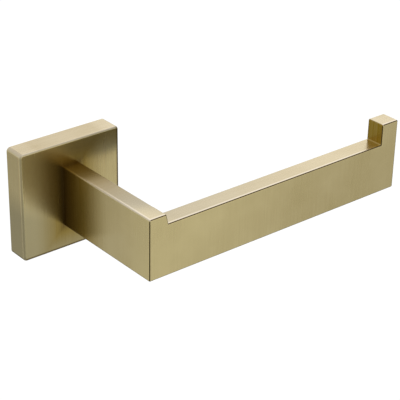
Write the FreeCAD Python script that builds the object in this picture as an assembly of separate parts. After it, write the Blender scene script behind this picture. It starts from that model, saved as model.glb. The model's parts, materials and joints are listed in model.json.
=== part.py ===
import FreeCAD, Part

# Square wall-mounted toilet paper holder, brushed brass finish.
#
# A square flange hides a bracket that is screwed to the wall. A flat post stands out from the
# flange, a flat roll bar runs to one side from the post's free end, and the bar's far end turns
# up as a stop that keeps the roll on. The holder hooks over the bracket's undercut edges and a
# grub screw from below locks it.
#
# Frame, in millimetres: the origin is the centre of the flange's back, on the wall plane.
# +X runs along the roll bar, +Y goes into the wall, and +Z is up.

import math
import os

# ---- Outside sizes ----
flange_side = 50.0  # the flange is square
flange_depth = 10.0
flange_corner_radius = 1.8
flange_front_radius = 1.0
projection = 70.0  # from the wall to the front of the roll bar
overall_length = 160.0  # from the flange's free side to the end stop's far side
post_width = 8.5
post_height = 28.0
bar_depth = 9.0
step_height = 4.4  # how far the bar's top lies below the post's top
step_lean = 1.1  # how far the step's side runs out on its way down
stop_width = 9.7
stop_rise = 9.7  # how far the end stop stands above the bar's top
edge_radius = 0.6  # every outside edge of the post, bar and stop

# ---- Walls and inside sizes ----
cover_wall = 1.5
cover_inner_corner_radius = 0.3
tube_wall = 1.2
spigot_length = 8.0
end_block_length = 12.0
web_thickness = 2.5  # the hanger block's front web, which takes the post screws
block_side_wall = 4.8
block_thread_wall = 5.8  # the hanger block's lower wall, tapped for the set screw
block_recess = 0.5  # the hanger block stops short of the wall
block_corner_radius = 1.0
hook_undercut = 2.0  # how much taller the bracket is at its front than at the wall
bracket_corner_radius = 2.0

# ---- Fasteners ----
wall_screw_hole = 4.5
wall_screw_head = 8.4  # countersink diameter at the bracket's front
wall_screw_edge = 6.0  # from a hole's centre to the bracket's side
post_screw_diameter = 4.0
post_screw_head = 7.5
post_screw_length = 12.0
post_screw_clear_hole = 4.3
post_screw_edge = 4.8  # from a screw's centre to the post tube's inner wall
set_screw_diameter = 4.0
set_screw_length = 8.0
set_screw_tip_diameter = 1.6
set_screw_cone = 1.2
key_hole = 5.0  # in the flange's underside
set_screw_land = 1.0  # metal between the tapped hole and the hanger block's back
post_socket = 2.5  # hexagon sockets, across flats
post_socket_depth = 1.4
set_socket = 2.0
set_socket_depth = 2.5

# ---- Clearances ----
block_gap = 0.2  # hanger block to the cover's inner walls
bracket_side_gap = 0.5
bracket_front_gap = 1.0
lift_room = 2.5  # below the bracket, so that the holder can be lifted off its hook
hook_gap = 0.02
braze_gap = 0.05  # spigots and the end block inside their tubes
post_thread_gap = 0.02
set_thread_gap = 0.05
set_screw_contact_gap = 0.02
overrun = 1.0  # how far a cutting shape passes the face that it cuts

# ---- Places that follow from the sizes ----
flange_half = flange_side / 2
cover_inner_half = flange_half - cover_wall
cover_inner_front = -flange_depth + cover_wall
block_half = cover_inner_half - block_gap
web_back = cover_inner_front + web_thickness
pocket_half_width = block_half - block_side_wall
pocket_bottom = -(block_half - block_thread_wall)

bracket_thickness = -web_back - bracket_front_gap
bracket_half_width = pocket_half_width - bracket_side_gap
bracket_front_half_height = -pocket_bottom - lift_room
bracket_back_half_height = bracket_front_half_height - hook_undercut
wall_screw_offset = bracket_half_width - wall_screw_edge

post_half_width = post_width / 2
post_half_height = post_height / 2
post_root = -flange_depth
bar_front = -projection
bar_back = bar_front + bar_depth
bar_bottom = -post_half_height
bar_top = post_half_height - step_height
bar_start = post_half_width + step_lean
bar_end = overall_length - flange_half - stop_width
stop_end = bar_end + stop_width
stop_top = bar_top + stop_rise
post_screw_offset = post_half_height - tube_wall - post_screw_edge

set_thread_radius = set_screw_diameter / 2 + set_thread_gap
set_screw_y = -(block_recess + set_screw_land + set_thread_radius)


def bracket_edge_height(y):
    """Half the bracket's height at a distance from the wall, along its undercut edge."""
    return bracket_back_half_height - hook_undercut * y / bracket_thickness


set_screw_touch_y = max(set_screw_y - set_screw_tip_diameter / 2, -bracket_thickness)
set_screw_tip = -bracket_edge_height(set_screw_touch_y) - set_screw_contact_gap


# ---- Shape helpers ----
X = FreeCAD.Vector(1, 0, 0)
Y = FreeCAD.Vector(0, 1, 0)
Z = FreeCAD.Vector(0, 0, 1)


def block(x, y, z):
    """A box between two values on each axis."""
    corner = FreeCAD.Vector(x[0], y[0], z[0])
    return Part.makeBox(x[1] - x[0], y[1] - y[0], z[1] - z[0], corner)


def prism(points, direction):
    """A closed outline of points, pushed along a direction."""
    return Part.Face(Part.makePolygon(points + points[:1])).extrude(direction)


def rounded_plate(half_x, half_z, y, radius):
    """A plate between two values of y, centred on the Y axis, with its four corners rounded."""
    plate = block((-half_x, half_x), y, (-half_z, half_z))
    corners = [edge for edge in plate.Edges if edge_runs_along(edge, Y)]
    return plate.makeFillet(radius, corners)


def edge_runs_along(edge, direction):
    """True for a straight edge that is parallel to the direction."""
    if not isinstance(edge.Curve, Part.Line):
        return False
    return abs(abs(edge.tangentAt(edge.FirstParameter).dot(direction)) - 1) < 1e-6


def is_outside_corner(solid, edge):
    """True where less than half of a small ring round the edge's middle lies in the solid."""
    ring_radius = 0.05
    samples = 16
    middle = edge.valueAt((edge.FirstParameter + edge.LastParameter) / 2)
    along = edge.tangentAt(edge.FirstParameter)
    side = along.cross(Z if abs(along.z) < 0.9 else X).normalize()
    other = along.cross(side)
    inside = 0
    for i in range(samples):
        angle = 2 * math.pi * (i + 0.5) / samples
        point = middle + side * (ring_radius * math.cos(angle)) + other * (ring_radius * math.sin(angle))
        inside += solid.isInside(point, 1e-6, True)
    return inside < samples / 2


def hexagon_socket(across_flats, depth, centre, direction):
    """A hexagonal pocket cutter from a point along a direction, a little longer at its mouth."""
    radius = across_flats / math.sqrt(3)
    side = direction.cross(X).normalize() if abs(direction.x) < 0.9 else Y
    other = direction.cross(side)
    start = centre - direction * overrun
    corners = []
    for i in range(6):
        angle = math.pi * i / 3
        corners.append(start + side * (radius * math.cos(angle)) + other * (radius * math.sin(angle)))
    return prism(corners, direction * (depth + overrun))


# ---- Wall side: cover, hanger block and bracket ----
def make_flange_cover():
    """A square cup, open towards the wall, with holes for the post screws and the hex key."""
    outside = rounded_plate(flange_half, flange_half, (-flange_depth, 0), flange_corner_radius)
    front = [edge for edge in outside.Edges if edge.BoundBox.YMax < -flange_depth + 1e-6]
    outside = outside.makeFillet(flange_front_radius, front)
    inside = rounded_plate(
        cover_inner_half,
        cover_inner_half,
        (cover_inner_front, overrun),
        cover_inner_corner_radius,
    )
    cover = outside.cut(inside)
    for z in (-post_screw_offset, post_screw_offset):
        start = FreeCAD.Vector(0, -flange_depth - overrun, z)
        cover = cover.cut(Part.makeCylinder(post_screw_clear_hole / 2, cover_wall + 2 * overrun, start, Y))
    start = FreeCAD.Vector(0, set_screw_y, -flange_half - overrun)
    return cover.cut(Part.makeCylinder(key_hole / 2, cover_wall + 2 * overrun, start, Z))


def make_hanger_block():
    """A die-cast block that fills the cover and hooks over the bracket's undercut top edge."""
    body = rounded_plate(block_half, block_half, (cover_inner_front, -block_recess), block_corner_radius)
    pocket_mouth = overrun
    outline = [
        FreeCAD.Vector(-pocket_half_width, web_back, pocket_bottom),
        FreeCAD.Vector(-pocket_half_width, pocket_mouth, pocket_bottom),
        FreeCAD.Vector(-pocket_half_width, pocket_mouth, bracket_edge_height(pocket_mouth) + hook_gap),
        FreeCAD.Vector(-pocket_half_width, web_back, bracket_edge_height(web_back) + hook_gap),
    ]
    body = body.cut(prism(outline, X * (2 * pocket_half_width)))

    head_gap = (post_screw_clear_hole - post_screw_diameter) / 2
    head_radius = post_screw_head / 2 + head_gap
    cone_depth = head_radius - post_screw_clear_hole / 2
    for z in (-post_screw_offset, post_screw_offset):
        start = FreeCAD.Vector(0, cover_inner_front - overrun, z)
        body = body.cut(Part.makeCylinder(post_screw_clear_hole / 2, web_thickness + 2 * overrun, start, Y))
        start = FreeCAD.Vector(0, web_back, z)
        body = body.cut(Part.makeCone(head_radius, post_screw_clear_hole / 2, cone_depth, start, -Y))

    # The bore runs up past the screw's tip, so that the screw also clears a thicker web.
    start = FreeCAD.Vector(0, set_screw_y, -block_half - overrun)
    bored_length = set_screw_tip + overrun - start.z
    return body.cut(Part.makeCylinder(set_thread_radius, bored_length, start, Z))


def make_wall_bracket():
    """A plate whose top and bottom edges are undercut, with two countersunk screw holes."""
    outline = [
        FreeCAD.Vector(-bracket_half_width, 0, -bracket_back_half_height),
        FreeCAD.Vector(-bracket_half_width, 0, bracket_back_half_height),
        FreeCAD.Vector(-bracket_half_width, -bracket_thickness, bracket_front_half_height),
        FreeCAD.Vector(-bracket_half_width, -bracket_thickness, -bracket_front_half_height),
    ]
    plate = prism(outline, X * (2 * bracket_half_width))
    rounding = rounded_plate(
        bracket_half_width,
        bracket_front_half_height,
        (-bracket_thickness, 0),
        bracket_corner_radius,
    )
    plate = plate.common(rounding)
    hole_radius = wall_screw_hole / 2
    cone_depth = (wall_screw_head - wall_screw_hole) / 2
    for x in (-wall_screw_offset, wall_screw_offset):
        start = FreeCAD.Vector(x, -bracket_thickness - overrun, 0)
        plate = plate.cut(Part.makeCylinder(hole_radius, bracket_thickness + 2 * overrun, start, Y))
        start = FreeCAD.Vector(x, -bracket_thickness, 0)
        plate = plate.cut(Part.makeCone(wall_screw_head / 2, hole_radius, cone_depth, start, Y))
    return plate


# ---- Post, corner, bar and end stop: one outside skin, ground flush, cut into its pieces ----
def make_skin():
    """The outside of the post, bar and stop as one solid, with every outside edge rounded."""
    outline = [
        FreeCAD.Vector(-post_half_width, bar_front, bar_bottom),
        FreeCAD.Vector(stop_end, bar_front, bar_bottom),
        FreeCAD.Vector(stop_end, bar_front, stop_top),
        FreeCAD.Vector(bar_end, bar_front, stop_top),
        FreeCAD.Vector(bar_end, bar_front, bar_top),
        FreeCAD.Vector(bar_start, bar_front, bar_top),
        FreeCAD.Vector(post_half_width, bar_front, post_half_height),
        FreeCAD.Vector(-post_half_width, bar_front, post_half_height),
    ]
    front = prism(outline, Y * bar_depth)
    front = front.makeFillet(edge_radius, [edge for edge in front.Edges if is_outside_corner(front, edge)])
    bar_middle = (bar_front + bar_back) / 2
    post = rounded_plate(post_half_width, post_half_height, (bar_middle, post_root), edge_radius)
    return front.fuse(post).removeSplitter()


def slice_of(skin, x, y):
    """The part of the skin between two values of x and of y, at any height."""
    return skin.common(block(x, y, (bar_bottom - overrun, max(stop_top, post_half_height) + overrun)))


def bar_bore(x, shrink):
    """The space inside the roll bar's tube between two values of x, less a gap all round."""
    return block(
        x,
        (bar_front + tube_wall + shrink, bar_back - tube_wall - shrink),
        (bar_bottom + tube_wall + shrink, bar_top - tube_wall - shrink),
    )


def post_bore(y, shrink):
    """The space inside the post's tube between two values of y, less a gap all round."""
    half_width = post_half_width - tube_wall - shrink
    half_height = post_half_height - tube_wall - shrink
    return block((-half_width, half_width), y, (-half_height, half_height))


def make_post_tube(skin):
    """A rectangular tube from the flange to the corner block."""
    side = (-flange_half, flange_half)
    return slice_of(skin, side, (bar_back, post_root)).cut(post_bore((bar_back - overrun, overrun), 0))


def make_corner_block(skin):
    """A solid corner with a spigot up each tube. Its top carries the step down to the bar."""
    corner = slice_of(skin, (-flange_half, bar_start), (bar_front, bar_back))
    post_spigot = post_bore((bar_back, bar_back + spigot_length), braze_gap)
    bar_spigot = bar_bore((bar_start, bar_start + spigot_length), braze_gap)
    return corner.fuse([post_spigot, bar_spigot]).removeSplitter()


def make_roll_bar_tube(skin):
    """A rectangular tube from the corner block to the end stop."""
    tube = slice_of(skin, (bar_start, bar_end), (bar_front, bar_back))
    return tube.cut(bar_bore((bar_start - overrun, bar_end + overrun), 0))


def make_end_stop(skin):
    """A solid block that closes the bar's tube with a spigot and stands up as the roll's stop."""
    stop = slice_of(skin, (bar_end, stop_end + overrun), (bar_front, bar_back))
    spigot = bar_bore((bar_end - spigot_length, bar_end), braze_gap)
    return stop.fuse(spigot).removeSplitter()


def make_post_end_block():
    """A tapped block brazed into the post's wall end."""
    body = post_bore((post_root - end_block_length, post_root), braze_gap)
    radius = post_screw_diameter / 2 + post_thread_gap
    for z in (-post_screw_offset, post_screw_offset):
        start = FreeCAD.Vector(0, post_root - end_block_length - overrun, z)
        body = body.cut(Part.makeCylinder(radius, end_block_length + 2 * overrun, start, Y))
    return body


# ---- Screws ----
def make_post_screw(z):
    """A countersunk screw with a hexagon socket, its head flush with the hanger block's web."""
    radius = post_screw_diameter / 2
    head_radius = post_screw_head / 2
    seat = FreeCAD.Vector(0, web_back, z)
    shank = Part.makeCylinder(radius, post_screw_length, seat, -Y)
    head = Part.makeCone(head_radius, radius, head_radius - radius, seat, -Y)
    return shank.fuse(head).cut(hexagon_socket(post_socket, post_socket_depth, seat, -Y))


def make_set_screw():
    """A grub screw with a cone point under the bracket and a hexagon socket at its lower end."""
    radius = set_screw_diameter / 2
    foot = FreeCAD.Vector(0, set_screw_y, set_screw_tip - set_screw_length)
    shoulder = FreeCAD.Vector(0, set_screw_y, set_screw_tip - set_screw_cone)
    shank = Part.makeCylinder(radius, set_screw_length - set_screw_cone, foot, Z)
    point = Part.makeCone(radius, set_screw_tip_diameter / 2, set_screw_cone, shoulder, Z)
    return shank.fuse(point).cut(hexagon_socket(set_socket, set_socket_depth, foot, Z))


# ---- Build and write ----
skin = make_skin()
nodes = {
    "flange_cover": make_flange_cover(),
    "hanger_block": make_hanger_block(),
    "wall_bracket": make_wall_bracket(),
    "post_tube": make_post_tube(skin),
    "corner_block": make_corner_block(skin),
    "roll_bar_tube": make_roll_bar_tube(skin),
    "end_stop": make_end_stop(skin),
    "post_end_block": make_post_end_block(),
    "post_screws": Part.makeCompound([make_post_screw(z) for z in (-post_screw_offset, post_screw_offset)]),
    "set_screw": make_set_screw(),
}

os.makedirs("parts", exist_ok=True)
for name, shape in nodes.items():
    if not shape.isValid():
        raise ValueError(f"{name} is not a valid shape")
    shape.exportStep(f"parts/{name}.step")
    extent = shape.BoundBox
    print(
        f"{name}: {len(shape.Solids)} solid(s), {shape.Volume:.1f} mm3, "
        f"x {extent.XMin:.2f}..{extent.XMax:.2f}, y {extent.YMin:.2f}..{extent.YMax:.2f}, "
        f"z {extent.ZMin:.2f}..{extent.ZMax:.2f}"
    )
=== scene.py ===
# %% [markdown]
# # A square toilet paper holder in brushed brass
#
# The real object is a few pieces of flat section, joined into one bar, ground flush and brushed
# with a fine belt, in a pale brass colour. Whether it is brass all through or only coated can't
# be seen from outside, and here it is drawn as a coat. Nothing on it is soft, so the look
# rests on three things: small rounded edges that catch the light, a brushed surface that
# blurs what it mirrors, and a studio that is bright behind and dark in front.
#
# This script is a lesson in cells. It loads the finished metal parts as a fixed frame, and
# adds a camera, light, finishes, and the few pieces whose shape needs more than the frame has.

import json
import math

import bpy
import numpy as np
from mathutils import Matrix, Vector


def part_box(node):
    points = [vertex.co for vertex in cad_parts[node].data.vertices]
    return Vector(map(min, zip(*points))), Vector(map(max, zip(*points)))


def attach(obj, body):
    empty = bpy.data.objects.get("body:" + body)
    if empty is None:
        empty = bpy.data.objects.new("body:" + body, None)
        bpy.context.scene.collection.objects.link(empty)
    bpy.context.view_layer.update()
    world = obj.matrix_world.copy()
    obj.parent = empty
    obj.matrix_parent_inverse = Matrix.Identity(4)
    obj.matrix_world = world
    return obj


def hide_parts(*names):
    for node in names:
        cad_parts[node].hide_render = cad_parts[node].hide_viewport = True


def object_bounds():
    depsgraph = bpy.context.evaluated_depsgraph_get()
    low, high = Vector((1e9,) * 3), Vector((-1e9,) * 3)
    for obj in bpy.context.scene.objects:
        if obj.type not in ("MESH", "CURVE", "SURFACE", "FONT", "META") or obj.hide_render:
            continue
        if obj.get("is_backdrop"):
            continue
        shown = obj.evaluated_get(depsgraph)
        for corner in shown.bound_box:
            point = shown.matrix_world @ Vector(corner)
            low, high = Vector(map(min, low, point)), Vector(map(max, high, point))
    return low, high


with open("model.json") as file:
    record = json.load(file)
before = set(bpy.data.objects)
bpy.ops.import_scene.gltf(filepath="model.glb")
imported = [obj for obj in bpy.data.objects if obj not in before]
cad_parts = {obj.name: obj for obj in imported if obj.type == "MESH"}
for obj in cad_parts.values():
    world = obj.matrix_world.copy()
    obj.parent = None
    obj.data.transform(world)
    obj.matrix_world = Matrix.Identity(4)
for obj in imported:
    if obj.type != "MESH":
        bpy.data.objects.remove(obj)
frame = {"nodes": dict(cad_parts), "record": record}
nodes = frame["nodes"]
MM = 0.001  # metres in a millimetre

cad_low, cad_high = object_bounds()
extent = (cad_high - cad_low) / MM
print(f"frame: {len(nodes)} nodes, {extent.x:.1f} x {extent.y:.1f} x {extent.z:.1f} mm")

# %% [markdown]
# ## Camera
#
# The holder is looked at from the left, in front and above. A long lens, used from a little
# over half a metre, keeps the two edges of the bar nearly parallel. A camera can be placed by
# typing a position and three angles, but a direction and a distance from the point it aims at
# say the same thing in a way that is easier to change.

# %% Camera
SIDEWAYS, DOWNWARDS, TILT = math.radians(39.84), math.radians(27.54), math.radians(1.157)
DISTANCE = 613 * MM
LENS, SENSOR = 126.7, 36.0  # millimetres, as cameras are sold

ahead = Vector(
    (
        math.sin(SIDEWAYS) * math.cos(DOWNWARDS),
        math.cos(SIDEWAYS) * math.cos(DOWNWARDS),
        -math.sin(DOWNWARDS),
    )
)
level = Vector((math.cos(SIDEWAYS), -math.sin(SIDEWAYS), 0))
over = level.cross(ahead)
right = level * math.cos(TILT) + over * math.sin(TILT)
up = over * math.cos(TILT) - level * math.sin(TILT)
aim = Vector((60, -40, 0)) * MM - right * 10.8 * MM - up * 8.5 * MM
place = aim - ahead * DISTANCE

camera = bpy.data.objects.new("camera", bpy.data.cameras.new("camera"))
bpy.context.scene.collection.objects.link(camera)
bpy.context.scene.camera = camera
camera.data.lens, camera.data.sensor_width = LENS, SENSOR
camera.data.clip_start, camera.data.clip_end = 0.01, 50
rows = [[right[i], up[i], -ahead[i], place[i]] for i in range(3)]
camera.matrix_world = Matrix([*rows, [0, 0, 0, 1]])
print(f"camera: {LENS} mm lens, at ({place.x:.3f}, {place.y:.3f}, {place.z:.3f}) m")

# %% [markdown]
# ## Shader maths as plain expressions
#
# A material is a graph of nodes, and most of it is arithmetic. `Value` wraps one output socket
# and overloads the operators, so that `1 - mask * 0.5` adds its own Math nodes. Every other
# node comes from one method, `Graph.node`: its settings first, then its sockets.


# %% Values and graphs
class Value:
    """What one output socket gives. An operator on it adds a Math node and gives the result."""

    def __init__(self, graph, socket):
        self.graph, self.socket = graph, socket

    def math(self, operation, *others):
        sockets = dict(enumerate((self, *others)))
        return self.graph.node("ShaderNodeMath", {"operation": operation}, sockets)

    def __add__(self, other):
        return self.math("ADD", other)

    def __sub__(self, other):
        return self.math("SUBTRACT", other)

    def __mul__(self, other):
        return self.math("MULTIPLY", other)

    __radd__, __rmul__ = __add__, __mul__

    def __rsub__(self, other):
        return self.graph.node("ShaderNodeMath", {"operation": "SUBTRACT"}, {0: other, 1: self})

    def __abs__(self):
        return self.math("ABSOLUTE")

    def step(self, low, high):
        """0 below low, 1 above high, and a smooth S between them."""
        settings = {"interpolation_type": "SMOOTHSTEP"}
        return self.graph.node("ShaderNodeMapRange", settings, {0: self, 1: low, 2: high})


class Graph:
    """The nodes of one material or world."""

    def __init__(self, tree):
        self.tree = tree
        tree.nodes.clear()

    def node(self, kind, settings=None, sockets=None, output=0):
        """Adds a node, applies its settings, fills its sockets, and gives one of its outputs."""
        made = self.tree.nodes.new(kind)
        for name, setting in (settings or {}).items():
            setattr(made, name, setting)
        for name, given in (sockets or {}).items():
            if isinstance(given, Value):
                self.tree.links.new(given.socket, made.inputs[name])
            else:
                made.inputs[name].default_value = given
        return Value(self, made.outputs[output]) if made.outputs else None

    def vector(self, operation, first, second, output=0):
        settings = {"operation": operation}
        return self.node("ShaderNodeVectorMath", settings, {0: first, 1: second}, output)

    def mix(self, factor, first, second, blend="MIX"):
        """A colour between two colours. Sockets 6 and 7 are the Mix node's colour inputs."""
        settings = {"data_type": "RGBA", "blend_type": blend}
        return self.node("ShaderNodeMix", settings, {0: factor, 6: first, 7: second}, 2)


print("shader maths: Value and Graph are ready")

# %% [markdown]
# ## Studio
#
# Metal has almost no look of its own: it shows the room. So the room comes first. A studio
# can be built from lamps and cards, but what metal shows is only how bright each direction
# is, so here the world itself is the room: forty soft cards of light, spread evenly over the
# whole sphere, each with its own level. The brightest stand behind on the right, above the
# holder, and low in front on the right. The camera's own side is dark. That makes pale top
# faces, calmer front faces, and the thin dark line along every front edge, which the brass
# coat darkens further with a painted dark reflection.
#
# The forty levels weren't chosen one by one. A fitting program outside this lesson found them,
# and some were changed by hand afterwards, so this is the one table here that can't be worked
# out from the text. A few named cards, placed by hand, would be the clearer way to write it.

# %% World
# levels of the cards, from straight above, down to straight below, found by a fitting program
LEVELS = [
    0.53, 0.35, 0.28, 0.65, 0.37, 0.80, 0.35, 0.40, 0.18, 0.30,
    0.49, 0.44, 0.56, 0.42, 0.16, 0.38, 0.00, 0.39, 0.84, 0.38,
    0.42, 0.10, 0.18, 0.00, 0.98, 0.34, 0.18, 0.24, 0.00, 0.00,
    0.12, 0.03, 0.06, 0.64, 0.15, 0.00, 0.00, 0.60, 0.21, 0.22,
]
TIGHTNESS = 12.0  # a card's light falls to half at 20 degrees from its middle
BACKDROP = 1.05  # how bright the camera sees the room and the floor, so that both are white
COOL = (0.0, 0.02, 0.42)  # the share that a card high up adds to its red, green and blue
COOL_FROM, COOL_RISE = 5, 20  # degrees above the horizon where that starts, and until it is full
GOLDEN = math.pi * (math.sqrt(5) - 1)
WHITE = (1, 1, 1, 1)


def card_direction(i):
    """Spreads n points evenly over a sphere: equal steps down the axis, and the golden angle
    round it from each point to the next."""
    down = 1 - (2 * i + 1) / len(LEVELS)
    out = math.sqrt(1 - down * down)
    return Vector((out * math.cos(i * GOLDEN), out * math.sin(i * GOLDEN), down))


world = bpy.data.worlds.new("studio")
bpy.context.scene.world = world
world.use_nodes = True
g = Graph(world.node_tree)
direction = g.node("ShaderNodeTexCoord", output="Generated")
light = (0, 0, 0, 1)
for i, level_here in enumerate(LEVELS):
    toward = card_direction(i)
    cool = min(1, max(0, (math.degrees(math.asin(toward.z)) - COOL_FROM) / COOL_RISE))
    colour = [level_here * (1 + cool * c) for c in COOL]
    nearness = g.vector("DOT_PRODUCT", direction, toward, "Value")
    amount = ((nearness - 1) * TIGHTNESS).math("EXPONENT")
    light = g.mix(amount, light, (*colour, 1), "ADD")
room = g.node("ShaderNodeBackground", None, {"Color": light})
backdrop = g.node("ShaderNodeBackground", None, {"Color": WHITE, "Strength": BACKDROP})
seen = g.node("ShaderNodeLightPath", output="Is Camera Ray")
both = g.node("ShaderNodeMixShader", None, {0: seen, 1: room, 2: backdrop})
g.node("ShaderNodeOutputWorld", None, {"Surface": both})
bpy.context.scene.view_settings.view_transform = "Standard"
print(f"world: {len(LEVELS)} soft cards, the brightest at {max(LEVELS)}")

# %% [markdown]
# ## Floor
#
# The holder hangs on a wall, so the floor is well below it. It is a plain pale sheet that
# takes no part in the reflections or the shadows: the cards below the horizon light the holder
# from underneath instead.

# %% Floor
FLOOR_LEVEL, FLOOR_REACH = -0.8, 6.0  # metres

floor_mesh = bpy.data.meshes.new("floor")
corners = [(-1, -1), (1, -1), (1, 1), (-1, 1)]
floor_mesh.from_pydata(
    [(x * FLOOR_REACH, y * FLOOR_REACH, FLOOR_LEVEL) for x, y in corners], [], [(0, 1, 2, 3)]
)
floor = bpy.data.objects.new("floor", floor_mesh)
bpy.context.scene.collection.objects.link(floor)
floor.visible_glossy = floor.visible_diffuse = floor.visible_shadow = False
floor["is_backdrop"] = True

floor_paint = bpy.data.materials.new("pale_floor")
floor_paint.use_nodes = True
g = Graph(floor_paint.node_tree)
surface = g.node("ShaderNodeEmission", None, {"Color": WHITE, "Strength": BACKDROP})
g.node("ShaderNodeOutputMaterial", None, {"Surface": surface})
floor_mesh.materials.append(floor_paint)
print(f"floor: {2 * FLOOR_REACH:.0f} m across, {-FLOOR_LEVEL:.1f} m below the holder")

# %% [markdown]
# ## How a brushed surface is drawn
#
# A belt leaves thousands of fine parallel scratches. An image of scratches would do, but it
# needs a texture file and shows seams where faces meet. Noise that is stretched a long way
# along the belt's path gives the same marks anywhere, in the object's own coordinates.


# %% Noise helpers
def noise(g, coordinates, per_metre, detail=2.0):
    """Noise from 0 to 1 with that many features in a metre along x, y and z."""
    stretched = g.vector("MULTIPLY", coordinates, per_metre)
    return g.node("ShaderNodeTexNoise", None, {"Vector": stretched, "Scale": 1.0, "Detail": detail})


def metal(name, surface):
    """A material whose shader comes from surface(graph)."""
    made = bpy.data.materials.new(name)
    made.use_nodes = True
    g = Graph(made.node_tree)
    g.node("ShaderNodeOutputMaterial", None, {"Surface": surface(g)})
    return made


def polished(g, colour, rough, normal, **fixed):
    """A Principled shader for bare metal. fixed holds values that are the same all over."""
    sockets = {"Base Color": colour, "Roughness": rough, "Normal": normal, "Metallic": 1.0}
    return g.node("ShaderNodeBsdfPrincipled", None, sockets | fixed)


def relief(g, height, depth):
    """A Bump node: height runs from 0 to 1, and depth is how deep 1 is, in metres."""
    return g.node("ShaderNodeBump", None, {"Height": height, "Distance": depth, "Strength": 1.0})


print("noise: stretched and even kinds")

# %% [markdown]
# ## Brushed brass
#
# The visible pieces are drawn with a pale brass coat over a fine satin brushing. Upright faces
# are brushed up and down, and the top and bottom faces lengthwise. Each face has two sizes of
# scratch: hair-fine ones that mostly blur the reflection, and wider ones that just show. Upright
# scratches blur a reflection sideways much more than up and down, so the upright faces get an
# anisotropic shader, and a Mix Shader gives the top and bottom faces an even one.
#
# The tone isn't even either. It could be painted on an unwrapped skin, but a painted patch stays
# behind when a size changes. Here each patch is a mask, a number from 0 to 1 that comes from the
# place on the holder and the way the surface faces:
#
# - painted shade, dark and warm, round the post's root and inside the end stop
# - a painted dark reflection on rounded edges, and a painted highlight on those that face left and up
# - painted highlights at the corner of post and bar, and on the brink of the top faces
# - painted shade in patches of the flange and of the top faces
# - bare metal inside the flange's cup
#
# The tones are guesses. All but the bare metal are light and shade painted into the colour, so they
# stay in place when the view changes, where real reflections and shade would move.

# %% Tones and reaches
BRASS, BRASS_DEEP = (0.75, 0.63, 0.325, 1), (0.68, 0.56, 0.27, 1)
# painted shade: in the corner of post and flange, and darker still at the post's root
CORNER_SHADE_TONE, ROOT_SHADE_TONE = (0.32, 0.205, 0.015, 1), (0.15, 0.09, 0.02, 1)
# a painted dark reflection on edges, and a painted highlight on edges that face left and up
EDGE_REFLECTION_TONE, EDGE_HIGHLIGHT_TONE = (0.17, 0.12, 0.04, 1), (0.86, 0.76, 0.44, 1)
# painted highlights: at the corner of post and bar, and on the brink of the top faces
CORNER_SHEEN_TONE, BRINK_HIGHLIGHT_TONE = (0.94, 0.80, 0.40, 1), (1.0, 0.88, 0.55, 1)
# painted shade in patches of the flange and of the top faces
PATCH_SHADE_TONE = (0.52, 0.45, 0.245, 1)
BARE, BARE_DULL = (0.56, 0.52, 0.43, 1), (0.44, 0.41, 0.34, 1)

FINE, WIDE, ALONG = 5200, 1300, 25  # scratches in a metre, across and along the belt
CLOUDS, STAINS = 50, 260  # soft patches in the coat, and stains in the bare metal, in a metre
SATIN, SIDEWAYS_BLUR = 0.25, 0.92  # roughness, and how much of it is across the scratches
SCRATCH_DEPTH = 0.002 * MM

CORNER_AROUND, CORNER_SIDES, CORNER_TOP = 16 * MM, 34 * MM, 55 * MM  # reach of the painted corner shade
ROOT_AROUND, ROOT_ALONG = 4 * MM, 16 * MM  # reach of the painted shade at the root
# how far the painted highlight at the corner of post and bar reaches
SHEEN_REACH = 40 * MM
BRINK, BRINK_END = 0.9 * MM, 1.5 * MM  # where the painted highlight on the brink starts to fade, and where it ends
CUP_SKIN = 0.8 * MM  # a little more than half of the cup's wall, so the cup's inside starts there

cover_low, cover_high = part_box("flange_cover")
post_high, bar_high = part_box("post_tube")[1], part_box("roll_bar_tube")[1]
corner_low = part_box("corner_block")[0]
print(f"brass: {FINE} fine and {WIDE} wide scratches in a metre, {SCRATCH_DEPTH / MM} mm deep")


# %% Masks
def axes(g, vector):
    """The three numbers of a vector."""
    return [g.node("ShaderNodeSeparateXYZ", None, {0: vector}, axis) for axis in "XYZ"]


def larger(first, second):
    return first.math("MAXIMUM", second)


def in_flange(x, y, z):
    """1 on the inside of the flange's cup, and 0 on its outside and everywhere else."""
    across = (cover_high.x - CUP_SKIN - abs(x)).step(0, CUP_SKIN / 2)
    upwards = (cover_high.z - CUP_SKIN - abs(z)).step(0, CUP_SKIN / 2)
    return across * upwards * (y - cover_low.y - CUP_SKIN).step(0, CUP_SKIN / 2)


def on_flange(y):
    """1 on the flange's cover and 0 on everything in front of it."""
    return (y - cover_low.y + 0.5 * MM).step(0, 0.2 * MM)


def beside_post(x, z):
    """How far a point of the flange is outside the post's outline, along X or Z."""
    return larger(abs(x) - post_high.x, abs(z) - post_high.z)


def painted_corner_shade(x, y, z, lying):
    """Painted shade: 1 in the corner that the post makes with the flange, and less and less over the
    flange round it, over the post's sides, and further out over its top. It is also 1 on the inner
    face of the end stop."""
    out = post_high.y - y
    on_sides, on_top = 1 - out.step(10 * MM, CORNER_SIDES), 1 - out.step(0, CORNER_TOP)
    around = 1 - beside_post(x, z).step(-2 * MM, CORNER_AROUND)
    inner_face = 1 - abs(x - bar_high.x).step(0.2 * MM, 0.6 * MM)
    above_bar = (z - bar_high.z).step(-0.2 * MM, 0.6 * MM)
    return larger(around * (on_sides + (on_top - on_sides) * lying), inner_face * above_bar)


def painted_root_shade(x, y, z, lying):
    """Painted shade: 1 where the post's sides meet the flange, fading out sooner than the painted
    corner shade does.
    """
    around = 1 - beside_post(x, z).step(-1 * MM, ROOT_AROUND)
    return around * (1 - (post_high.y - y).step(0, ROOT_ALONG)) * (1 - lying)


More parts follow.
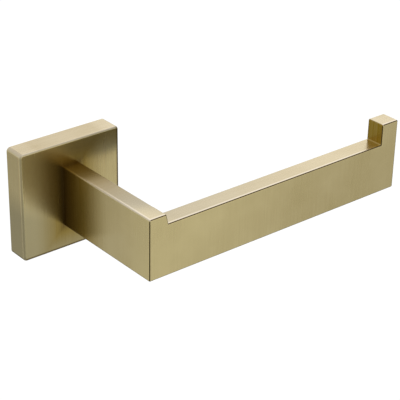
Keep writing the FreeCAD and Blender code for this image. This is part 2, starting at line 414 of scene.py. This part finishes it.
def on_edges(x, y, z, normal):
    """Two masks over rounded edges, where no part of the normal is near 1. The second is a painted
    highlight on the edges that face both left and up, and on the flange on those that face left or
    up. The first is a painted dark reflection on the other edges, and on the rims at the flange's
    bottom and right."""
    squarest = larger(larger(abs(normal[0]), abs(normal[1])), abs(normal[2]))
    rounded = (1 - squarest).step(0.03, 0.11)
    leftward, upward = (normal[0] * -1).step(0.03, 0.12), normal[2].step(0.03, 0.12)
    both, either, flange = leftward * upward, larger(leftward, upward), on_flange(y)
    highlit = both + flange * (either - both)
    outwards = larger(z * -1, x) - cover_high.x
    rim = flange * outwards.step(-1.5 * MM, -1.0 * MM) * normal[1].step(0.3, 0.0)
    return larger(rounded * (1 - highlit), rim * 0.8), rounded * highlit


def painted_shade_patches(x, y, z, lying):
    """Painted shade: the lower left of the flange, a band across its upper right, and a part of the
    top faces, less and less along the bar."""
    lower_left = (x * 0.4 + z).step(-1 * MM, -16 * MM)
    upper_right = z.step(12 * MM, 17 * MM) * x.step(-6 * MM, 14 * MM)
    tops = lying * (1 - x.step(5 * MM, 110 * MM)) * (y.step(-64 * MM, -56 * MM) * 0.5 + 0.5)
    flange = on_flange(y)
    return flange * (1 - lying) * larger(lower_left, upper_right) + (1 - flange) * tops


def painted_sheen(x, y, lying):
    """A painted highlight, 1 at the upright corner where post and bar meet. It fades out over 25 mm of
    the post, 100 mm of the bar's upright faces and 20 mm of its top, so the distance counts 1.6, 0.4
    and 2 times."""
    along_bar, along_post = x - corner_low.x, y - corner_low.y
    distance = along_bar * (lying * 1.6 + 0.4) + along_post * 1.6
    return (1 - distance.step(0, SHEEN_REACH)) * (1 - on_flange(y))


def on_brink(x, y, lying):
    """A painted highlight, 1 on the last millimetre of the top faces of post and bar, beside the left
    and front edges.
    """
    nearest = (x - corner_low.x).math("MINIMUM", y - corner_low.y)
    return lying * (1 - nearest.step(BRINK, BRINK_END)) * (1 - on_flange(y))


print("masks: cup, corners, root, edges, dull patches, rubbed corner and brink")


# %% The coat
def brushed_brass(g):
    """Two sizes of scratch and soft clouds vary the brass a little, and the masks lay painted shade,
    a painted dark reflection and painted highlights over it in turn, then bare metal inside the cup.
    The last ones hide what is under them."""
    spot = g.node("ShaderNodeTexCoord", output="Object")
    x, y, z = axes(g, spot)
    normal = axes(g, g.node("ShaderNodeTexCoord", output="Normal"))
    lying = abs(normal[2]).step(0.6, 0.8)  # 1 on top and bottom faces, 0 on upright ones

    fine_up, fine_flat = (noise(g, spot, s) for s in ((FINE, FINE, ALONG), (ALONG, FINE, FINE)))
    wide_up, wide_flat = (noise(g, spot, s) for s in ((WIDE, WIDE, ALONG), (ALONG, WIDE, WIDE)))
    fine = fine_up + (fine_flat - fine_up) * lying
    wide = wide_up + (wide_flat - wide_up) * lying
    cloud = noise(g, spot, (CLOUDS, CLOUDS, CLOUDS), 3.0)

    # the edge masks: a painted dark reflection, and a painted highlight
    inside, (dark_edge_reflection, edge_highlight) = in_flange(x, y, z), on_edges(x, y, z, normal)
    # painted shade in the corner of post and flange and inside the end stop, broken up a little by the
    # wide scratches
    corner = painted_corner_shade(x, y, z, lying)
    corner = corner * 0.95 + corner * (wide - 0.5) * 0.4
    # no painted highlight on edges inside the painted corner shade
    edge_highlight = edge_highlight * (1 - corner)

    tone = (fine - 0.5) * 0.7 + (wide - 0.5) * 1.2 + (cloud - 0.5) * 2.4 + 0.5
    # painted shade in patches over the brass's random tone
    colour = g.mix(painted_shade_patches(x, y, z, lying), g.mix(tone, BRASS, BRASS_DEEP), PATCH_SHADE_TONE)
    # painted highlight at the corner where post and bar meet
    colour = g.mix(painted_sheen(x, y, lying) * 0.5, colour, CORNER_SHEEN_TONE)
    # painted highlight on the brink of the top faces
    colour = g.mix(on_brink(x, y, lying) * 0.6, colour, BRINK_HIGHLIGHT_TONE)
    # painted shade: the corner's shade, darker still at the post's root
    corner_shade_colour = g.mix(painted_root_shade(x, y, z, lying), CORNER_SHADE_TONE, ROOT_SHADE_TONE)
    # the painted corner shade, then the painted dark reflection on the edges
    colour = g.mix(dark_edge_reflection, g.mix(corner, colour, corner_shade_colour), EDGE_REFLECTION_TONE)
    stains = noise(g, spot, (STAINS, STAINS, STAINS), 4.0).step(0.35, 0.65)
    bare = g.mix(stains, BARE, BARE_DULL)
    # the painted highlight on edges, then bare metal inside the cup
    colour = g.mix(inside, g.mix(edge_highlight * 0.5, colour, EDGE_HIGHLIGHT_TONE), bare)

    rough = (fine - 0.5) * 0.08 + (wide - 0.5) * 0.04 + (cloud - 0.5) * 0.12
    rough = rough + inside * 0.2 + edge_highlight * 0.15 - dark_edge_reflection * 0.06 + SATIN
    bumps = relief(g, fine * 0.75 + wide * 0.25, SCRATCH_DEPTH)
    upright = polished(g, colour, rough, bumps, Anisotropic=SIDEWAYS_BLUR)
    level_faces = polished(g, colour, rough, bumps)
    return g.node("ShaderNodeMixShader", None, {0: lying, 1: upright, 2: level_faces})


brass = metal("brushed_brass_coat", brushed_brass)
print("brushed brass: two sizes of scratch, and nine tones over the base")

# %% [markdown]
# ## The hidden metals
#
# From behind, the holder shows its working parts: a die-cast zinc block with the dull, faintly
# mottled skin of a casting, a pressed bracket with a thin bluish zinc plate over rolled steel,
# and plain stainless screws with turning marks. They are each a noise or two, chosen for size.

# %% Cast zinc, zinc plate and screw steel
ZINC, ZINC_DARK = (0.47, 0.465, 0.42, 1), (0.33, 0.325, 0.295, 1)
PLATE_BLUE, PLATE_STRAW = (0.59, 0.615, 0.59, 1), (0.64, 0.62, 0.52, 1)
STEEL, STEEL_DARK = (0.56, 0.55, 0.54, 1), (0.40, 0.395, 0.39, 1)


def cast_zinc(g):
    spot = g.node("ShaderNodeTexCoord", output="Object")
    mottle, grain = noise(g, spot, (240, 240, 240), 5.0), noise(g, spot, (2600, 2600, 2600), 3.0)
    tone = (mottle - 0.5) * 1.6 + (grain - 0.5) * 0.8 + 0.45
    rough = (mottle - 0.5) * 0.25 + 0.52
    skin = relief(g, grain * 0.6 + mottle * 0.4, 0.03 * MM)
    return polished(g, g.mix(tone, ZINC, ZINC_DARK), rough, skin)


def zinc_plate(g):
    spot = g.node("ShaderNodeTexCoord", output="Object")
    bloom, rolled = noise(g, spot, (120, 120, 120), 3.0), noise(g, spot, (60, 2600, 2600))
    colour = g.mix(bloom.step(0.35, 0.65), PLATE_BLUE, PLATE_STRAW)
    rough = (bloom - 0.5) * 0.2 + (rolled - 0.5) * 0.1 + 0.3
    return polished(g, colour, rough, relief(g, rolled, 0.008 * MM))


def screw_steel(g):
    spot = g.node("ShaderNodeTexCoord", output="Object")
    marks, bloom = noise(g, spot, (5000, 5000, 5000), 1.0), noise(g, spot, (500, 500, 500), 3.0)
    colour = g.mix(bloom.step(0.3, 0.7), STEEL, STEEL_DARK)
    return polished(g, colour, (bloom - 0.5) * 0.2 + 0.28, relief(g, marks, 0.006 * MM))


finishes = {
    "brushed_brass": brass,
    "die_cast_zinc": metal("cast_zinc_skin", cast_zinc),
    "zinc_plated_steel": metal("zinc_plate", zinc_plate),
    "screw_steel": metal("stainless_screw", screw_steel),
}
print(f"finishes: {', '.join(finishes)}")

# %% Put the finishes on the frame
for part in frame["record"]["subparts"]:
    mesh = nodes[part["node"]].data
    mesh.materials.clear()
    mesh.materials.append(finishes[part["material_slot"]])
print(f"{len(nodes)} nodes have their finish")

# %% [markdown]
# ## Threaded screws
#
# The frame holds the screws as plain cylinders. Real ones have a rolled thread, a hexagon
# socket and small chamfers. A Screw modifier would turn one profile into a helix, but its ends
# stay open. Here a screw is one closed skin instead: rings from the tip to the bottom of the
# socket, in which the radius of each point is a function of its angle and its height.


# %% Radius functions
PITCH = 0.7  # M4 coarse
THREAD_DEPTH = 0.5413 * PITCH
LEAD_IN = 0.1  # chamfer round the mouth of a socket, and round the edge of a head
DRILLED = 0.95  # a socket's drilled bottom, as a share of the width over its flats
STEPS = 16  # rings in one pitch of thread
TURN = np.linspace(0, 2 * np.pi, 96, endpoint=False)


def threaded(height, major, relieved):
    """Thread radius. A saw of period PITCH, shifted by one pitch each turn, becomes a flat crest
    (an eighth of the pitch), straight flanks and a flat root (a quarter). The result is never
    larger than `relieved`, the radius of the chamfer at each height."""
    phase = (height[:, None] / PITCH - TURN[None, :] / (2 * np.pi)) % 1.0
    flank = np.clip((3 / 8 - np.abs(phase - 0.5)) / (3 / 8 - 1 / 16), 0, 1)
    return np.minimum(major - THREAD_DEPTH * (1 - flank), relieved[:, None])


def hexagon(across_flats):
    """Radius of a hexagon: half the width over flats, divided by the cosine of the angle to the
    middle of the nearest side."""
    return across_flats / 2 / np.cos((TURN + np.pi / 6) % (np.pi / 3) - np.pi / 6)


def ringed_skin(rings, poles, to_place):
    """A closed skin as (vertices, quads, triangles). rings holds (height, radius per angle) pairs, and
    a point on the axis at each of the two poles closes the ends. to_place turns local points in
    mm, with the axis along the third coordinate, into the frame, in mm. If the volume, which is
    a sixth of the sum of the triangles' triple products, is negative, the faces are turned over."""
    height = np.array([h for h, _ in rings])
    radius = np.stack([np.broadcast_to(r, TURN.shape) for _, r in rings])
    columns = radius * np.cos(TURN), radius * np.sin(TURN), height[:, None] + 0 * radius
    points = np.stack(columns, axis=-1).reshape(-1, 3)
    ends = np.array([[0, 0, pole] for pole in poles])
    vertices = to_place(*np.concatenate([points, ends]).T) * MM

    n = len(TURN)
    here, there = np.arange(n), np.roll(np.arange(n), -1)
    start = np.arange(len(rings) - 1)[:, None] * n
    sides = [start + here, start + there, start + n + there, start + n + here]
    quads = np.stack(sides, axis=-1).reshape(-1, 4)
    last = start[-1, 0] + n
    first_cap = np.stack([there, here, np.full(n, len(points))], axis=-1)
    last_cap = np.stack([last + here, last + there, np.full(n, len(points) + 1)], axis=-1)
    fans = np.concatenate([first_cap, last_cap])
    triangles = np.concatenate([quads[:, [0, 1, 2]], quads[:, [0, 2, 3]], fans])
    a, b, c = (vertices[triangles[:, i]] for i in range(3))
    if np.sum(a * np.cross(b, c)) < 0:
        quads, fans = quads[:, ::-1], fans[:, ::-1]
    return vertices, quads, fans


def piece(name, skins, slot, body, sharp=35):
    """One mesh object from closed skins. Edges that turn more than sharp degrees stay crisp."""
    vertices, faces, count = [], [], 0
    for points, quads, fans in skins:
        vertices.append(points)
        faces += (quads + count).tolist() + (fans + count).tolist()
        count += len(points)
    mesh = bpy.data.meshes.new(name)
    mesh.from_pydata(np.concatenate(vertices).tolist(), [], faces)
    mesh.shade_smooth()
    mesh.set_sharp_from_angle(angle=math.radians(sharp))
    mesh.materials.append(finishes[slot])
    made = bpy.data.objects.new(name, mesh)
    bpy.context.scene.collection.objects.link(made)
    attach(made, body)
    print(f"{name}: {count} points, {len(faces)} faces")
    return made


print(f"thread: {PITCH} mm pitch, {THREAD_DEPTH:.2f} mm deep")

# %% [markdown]
# ### The set screw
#
# It is an M4 grub screw that stands upright under the flange. Its cone point is at the top, where
# it presses on the bracket, and its socket faces down to the key hole. It travels with its own
# body, so it is a piece of its own.

# %% Set screw
low, high = (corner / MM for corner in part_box("set_screw"))
MAJOR = (high.x - low.x) / 2
LENGTH = high.z - low.z
CONE, TIP, CHAMFER = 1.2, 0.8, 0.35  # heights of cone and chamfer, and radius of the tip
SOCKET, SOCKET_DEPTH, DRILL_POINT = 2.0, 2.5, 0.5

height = np.arange(0, LENGTH - 0.02, PITCH / STEPS)[::-1]
cone = TIP + (LENGTH - height) / CONE * (MAJOR - TIP)
chamfer = MAJOR - CHAMFER + height
skin = threaded(height, MAJOR, np.minimum(np.minimum(cone, chamfer), MAJOR))
rings = [(LENGTH, TIP), *zip(height, skin)]
rings += [(0, hexagon(SOCKET) + LEAD_IN), (LEAD_IN, hexagon(SOCKET))]
rings += [(SOCKET_DEPTH, hexagon(SOCKET)), (SOCKET_DEPTH, SOCKET / 2 * DRILLED)]
middle = (low + high) / 2


def upright(x, y, h):
    """Stands the axis up at the set screw's place, with height 0 at the bottom."""
    return np.stack([x + middle.x, y + middle.y, h + low.z], axis=-1)


skins = [ringed_skin(rings, (LENGTH, SOCKET_DEPTH + DRILL_POINT), upright)]
set_screw = piece("set_screw_threaded", skins, "screw_steel", "set_screw")
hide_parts("set_screw")

# %% [markdown]
# ### The post screws
#
# Two M4 countersunk screws come from behind, through the block and the cover, into the block in
# the end of the post. Their heads lie flush, so only the cones' rims and the sockets show.

# %% Post screws
low, high = (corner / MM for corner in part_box("post_screws"))
HEAD, HEAD_LAND, SCREW = (high.x - low.x) / 2, 0.25, 12.0  # head radius and rim, whole length
SPACING = high.z - low.z - 2 * HEAD
KEY, KEY_DEPTH, KEY_POINT, END = 2.5, 1.4, 0.4, 0.5

height = np.arange(HEAD_LAND + HEAD - MAJOR + 0.3, SCREW + 0.01, PITCH / STEPS)
relieved = np.minimum(MAJOR, MAJOR - END + (SCREW - height))
rings = [(KEY_DEPTH, KEY / 2 * DRILLED), (KEY_DEPTH, hexagon(KEY)), (LEAD_IN, hexagon(KEY))]
rings += [(0, hexagon(KEY) + LEAD_IN), (0, HEAD - LEAD_IN), (LEAD_IN, HEAD), (HEAD_LAND, HEAD)]
rings += [(HEAD_LAND + HEAD - MAJOR, MAJOR - 0.1)]
rings += zip(height, threaded(height, MAJOR, relieved))


def laid(level):
    """Lays the axis along -Y at that height above the middle, with height 0 at the back."""
    return lambda x, y, h: np.stack([x, high.y - h, y + level], axis=-1)


poles = (KEY_DEPTH + KEY_POINT, SCREW)
skins = [ringed_skin(rings, poles, laid(side * SPACING / 2)) for side in (-1, 1)]
post_screws = piece("post_screws_threaded", skins, "screw_steel", "holder")
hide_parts("post_screws")

# %% [markdown]
#
# Blender mustn't change the size of the object. The last line prints how far what shows now
# reaches past the frame's box.

low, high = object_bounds()
worst = max(max((cad_low - low) / MM), max((high - cad_high) / MM))
print(f"visual model reaches {worst:.3f} mm past the frame's box")
